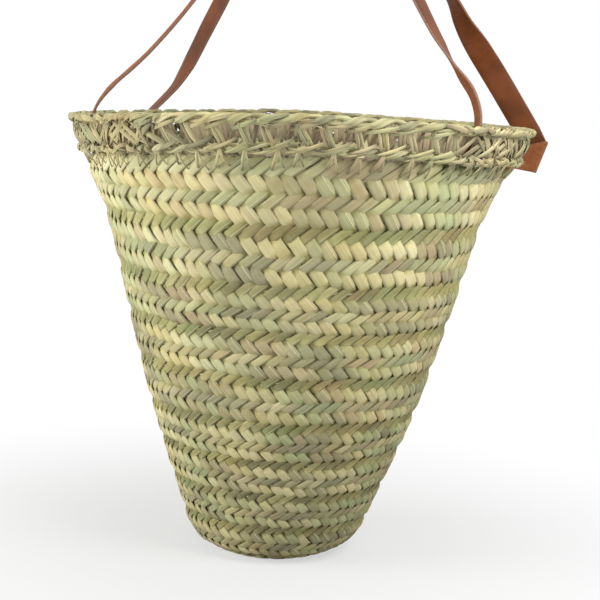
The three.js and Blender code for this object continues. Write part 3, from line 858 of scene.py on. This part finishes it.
# loose legs up to the crown and down to the fold: a point, then the width direction, the left ones mirrored;
# low is how far the leg ends from the fold, and tuck how far its foot goes in with the rim
legs = {
    "right": {
        "front": [
            (166.5, -79.4, 379, 0.33, -0.85, 0.41), (160, -72, 399, 0.14, -0.84, 0.52),
            (142, -57, 419, -0.1, -0.86, 0.5), (124, -43, 442, -0.32, -0.9, 0.29),
            (102, -26, 473, -0.36, -0.91, 0.18), (56, 5, 546, -0.18, -0.95, 0.27),
        ],
        "back": [
            (58, 66, 557, 0.1, -0.97, -0.17), (109, 86, 480, 0.54, -0.83, 0.11),
            (119, 93, 460, 0.78, -0.58, 0.25), (133, 100, 439, 0.84, -0.11, 0.53),
            (147, 109, 418, 0.8, 0.09, 0.59),
        ],
        "low": (24, 0.85, -0.03, 0.53), "tuck": 0,
    },
    "left": {
        "front": [
            (152, -79, 369, 0.4, 0.9, -0.1), (142, -72, 388, 0.59, 0.8, -0.15),
            (131, -57, 404, 0.59, 0.8, -0.13), (118, -46, 421, 0.52, 0.85, -0.09),
            (90, -24, 465, 0.5, 0.86, -0.09), (52, 4, 540, 0.51, 0.86, -0.06),
        ],
        "back": [
            (59, 70, 552, 0.61, 0.6, 0.52), (106, 92, 471, 0.62, 0.57, 0.54),
            (123, 102, 444, 0.59, 0.57, 0.57), (140, 112, 416, 0.56, 0.62, 0.55),
            (152, 117, 398, 0.43, 0.77, 0.47), (161, 119, 386, 0.33, 0.88, 0.35),
        ],
        "low": (12, 0.4, 0.9, 0.15), "tuck": slack["leftPinch"],
    },
}


def legKnots(rows):
    return [(Vector(row[:3]), Vector(row[3:])) for row in rows]


def strapRuns(leg):  # stations from the inside foot to the crown, down to the fold, and on through the border
    rise = legKnots(leg["front"])
    footTurn = math.copysign(1, swingAxis.dot(rise[0][1]))
    crownAcross = Vector((math.copysign(1, rise[-1][1].x), 0, 0))
    knots = []
    for spot, across in footKnots:
        knots.append((spot - footOut * leg["tuck"] * ramp(spot.z, *slack["pinch"]), across * footTurn))
    knots += rise + [(spot, crownAcross) for spot in crownSpots] + legKnots(leg["back"])
    lowEnd = foldPoint + swingAxis * strap["layer"] + inFold(strap["leanAngle"]) * leg["low"][0]
    knots.append((lowEnd, Vector(leg["low"][1:])))
    whole = smoothRoute(knots, strap["legSteps"])
    crownAt = min(range(len(whole)), key=lambda k: (whole[k][0] - crown).length)
    strapStations = stations(whole)
    innerHalf, outerHalf = strapStations[:crownAt + 1], strapStations[crownAt:]
    # rounded crease of the fold, then the tab back under the rope and flat on the inside wall
    creaseLine, creaseOut = inFold(foldMiddle), inFold(foldMiddle - 90)
    creaseHalf = strap["width"] / 2 / math.sin(math.radians((strap["leanAngle"] - strap["tabAngle"]) / 2))
    edgeSign = 1 if outerHalf[-1][1].dot(creaseLine) > 0 else -1
    faceSign = 1 if outerHalf[-1][2].dot(swingAxis) > 0 else -1
    creaseEdge = creaseLine * creaseHalf * edgeSign
    crease = []
    for k in range(strap["creaseSteps"] + 1):
        bend = math.pi * k / strap["creaseSteps"]
        turnOut = swingAxis * math.cos(bend) + creaseOut * math.sin(bend)
        crease.append((foldPoint + turnOut * strap["layer"], creaseEdge, turnOut * faceSign))
    tabStart = foldPoint - swingAxis * strap["layer"]
    tabAcross = inFold(strap["tabAngle"] + 90) * edgeSign
    passStart = tabStart - inFold(strap["tabAngle"]) * strap["tabRun"]
    passEnd = passStart - foldOut * strap["passRun"] - foldUp * strap["passDrop"]
    flatStart = tabStart - inFold(strap["flatAngle"]) * strap["flatRun"]
    tabKnots = [
        (flatStart, inFold(strap["flatAngle"] + 90) * edgeSign),
        (passStart, (tabAcross + foldUp * edgeSign) / 2),
        (passEnd, foldUp * edgeSign),
    ]
    for azimuth in strap["tabAzimuths"]:
        centre, rise, _ = onWall(wallEnd - strap["tabBack"], strap["footDepth"], azimuth)
        tabKnots.append((centre, rise * edgeSign))
    tab = stations(smoothRoute(tabKnots, strap["tabSteps"]))
    half = strap["creaseSteps"] // 2
    return innerHalf, outerHalf + crease[:half + 1], crease[half:] + tab


# section of the strap, across and out, with rounded edges and a slight crown
strapSection = [
    (-1.0, 0.0), (-0.985, 0.6), (-0.93, 1.0), (-0.5, 1.04), (0.0, 1.05), (0.5, 1.04), (0.93, 1.0),
    (0.985, 0.6), (1.0, 0.0), (0.985, -0.6), (0.93, -1.0), (0.5, -0.96), (0.0, -0.95), (-0.5, -0.96),
    (-0.93, -1.0), (-0.985, -0.6),
]
cutEdge = 0.95  # past this part of the half width the cut edge shows


def mirrored(spot, mirror):  # millimetres on the right to metres on either side
    return Vector((spot.x * mirror, spot.y, spot.z)) * millimetre


def strapPiece(name, body, nodes, places, mirror):
    bm = bmesh.new()
    bm.loops.layers.uv.new("UVMap")
    fleshLayer, rimLayer = bm.verts.layers.float.new("flesh"), bm.verts.layers.float.new("rim")
    count, sides = len(places) - 1, len(strapSection)
    for v in sheet(bm, count, sides):
        centre, half, face = places[round((v.co.x + 0.5) * count)]
        across, out = strapSection[round((v.co.y + 0.5) * sides) % sides]
        v.co = mirrored(centre + half * across + face * (out * strap["thick"] / 2), mirror)
        v[fleshLayer] = 1.0 if out < 0 else 0.0
        v[rimLayer] = 1.0 if abs(across) > cutEdge else 0.0
    return finishPiece(bm, name, leather, body, nodes)


# the front and back of each strap are baked in place unattached, and the foot stays with the basket
bothSides = (("right", 1), ("left", -1))
giveWay = inFold(foldMiddle + 90)
for side, mirror in bothSides:
    rising, falling, foot = strapRuns(legs[side])
    piece = strapPiece(side + "_strap_front", None, [side + "_inner_foot"], rising, mirror)
    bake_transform(piece)
    piece = strapPiece(side + "_strap_back", None, [side + "_handle_strap"], falling, mirror)
    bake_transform(piece)
    strapPiece(side + "_strap_foot", "basket", [side + "_outer_foot"], foot, mirror)
print("straps made")

# sewing on the feet: each foot has an azimuth and how far it is below the plait's edge
stitch = {
    "rows": (-3.0, 0.0, 3.0), "steps": 14, "sides": 8, "half": 6, "thick": 0.75, "sink": 0.5, "proud": 1.1,
    "feet": (("outer", strap["tabAzimuths"][1], strap["tabBack"]), ("inner", strap["footAzimuth"], 24.5)),
}
for side, mirror in bothSides:
    for foot, azimuth, back in stitch["feet"]:
        bm, *layers = newBuild()
        centre, rise, out = onWall(wallEnd - back, strap["footDepth"] + stitch["proud"], azimuth)
        run = rise if foot == "outer" else radial(azimuth + 90)
        step = out.cross(run)
        for row in stitch["rows"]:
            for v in sheet(bm, stitch["steps"], stitch["sides"]):
                reach = 2 * v.co.x
                around = math.tau * (v.co.y + 0.5)
                size = stitch["thick"] * math.sqrt(max(0.0, 1 - (abs(reach) ** 6)))
                spot = centre + step * row + run * reach * stitch["half"]
                spot -= out * (stitch["sink"] * (1 - reach ** 4))
                spot += (step * math.cos(around) + out * math.sin(around)) * size
                v.co = mirrored(spot, mirror)
        name = side + "_" + foot + "_stitch"
        finishPiece(bm, "sewn_" + name, thread, "basket", [name])
print("feet sewn")


def plainRays(wire):  # rays that should meet a white studio: seen, mirrored or let through
    path = wire.make("LightPath", out="Is Camera Ray")
    return path.work("MINIMUM", path + path.beside("Is Glossy Ray") + path.beside("Is Transmission Ray"), 1.0)


# plain pale floor that keeps the shadow and runs out to white
studio = {
    "size": 6, "rough": 0.9, "grey": (0.7, 0.7, 0.7, 1), "white": (1, 1, 1, 1),
    "nearGlow": 0.6, "farGlow": 0.4, "fade": (0.12, 0.5), "around": 0.34, "seen": 0.66, "aim": (0, 0, 0.2),
}
bm = bmesh.new()
bmesh.ops.create_grid(bm, x_segments=1, y_segments=1, size=studio["size"])
floorMesh = bpy.data.meshes.new("floor")
bm.to_mesh(floorMesh)
bm.free()
floor = bpy.data.objects.new("floor", floorMesh)
scene.collection.objects.link(floor)
mat, shader, wire = newMaterial("floorWhite", studio["rough"], 0.0)
shader.inputs["Base Color"].default_value = studio["grey"]
far = wire.make("VectorMath", {"operation": "LENGTH"}, {0: wire.make("TexCoord", out="Object")}, "Value")
glow = wire.make("Emission", {}, {"Color": studio["white"], "Strength": 1.0})
surface = Wire(wire.tree, shader.outputs[0])
share = plainRays(wire) * (studio["nearGlow"] + far.ease(*studio["fade"]) * studio["farGlow"])
faded = wire.make("MixShader", {}, {0: share, 1: surface, 2: glow})
wire.tree.links.new(faded.socket, wire.tree.nodes["Material Output"].inputs["Surface"])
floorMesh.materials.append(mat)

world = bpy.data.worlds.new("studio")
scene.world = world
world.use_nodes = True
background = world.node_tree.nodes["Background"]
strength = studio["around"] + plainRays(Wire(world.node_tree)) * studio["seen"]
world.node_tree.links.new(strength.socket, background.inputs["Strength"])
background.inputs["Color"].default_value = studio["white"]

lamps = {
    "key": {"place": (-1.55, -1.1, 0.55), "size": 1.0, "power": 35},
    "fill": {"place": (0.47, -0.3, 0.62), "size": 0.35, "power": 3.6},
    "sky": {"place": (0.2, 0.3, 2.2), "size": 1.6, "power": 13},
}
for name, lamp in lamps.items():
    light = bpy.data.lights.new(name, "AREA")
    light.size = lamp["size"]
    light.energy = lamp["power"]
    holder = bpy.data.objects.new(name, light)
    holder.location = lamp["place"]
    aim = Vector(studio["aim"]) - Vector(lamp["place"])
    holder.rotation_euler = aim.to_track_quat("-Z", "Y").to_euler()
    scene.collection.objects.link(holder)
print("stage lit")
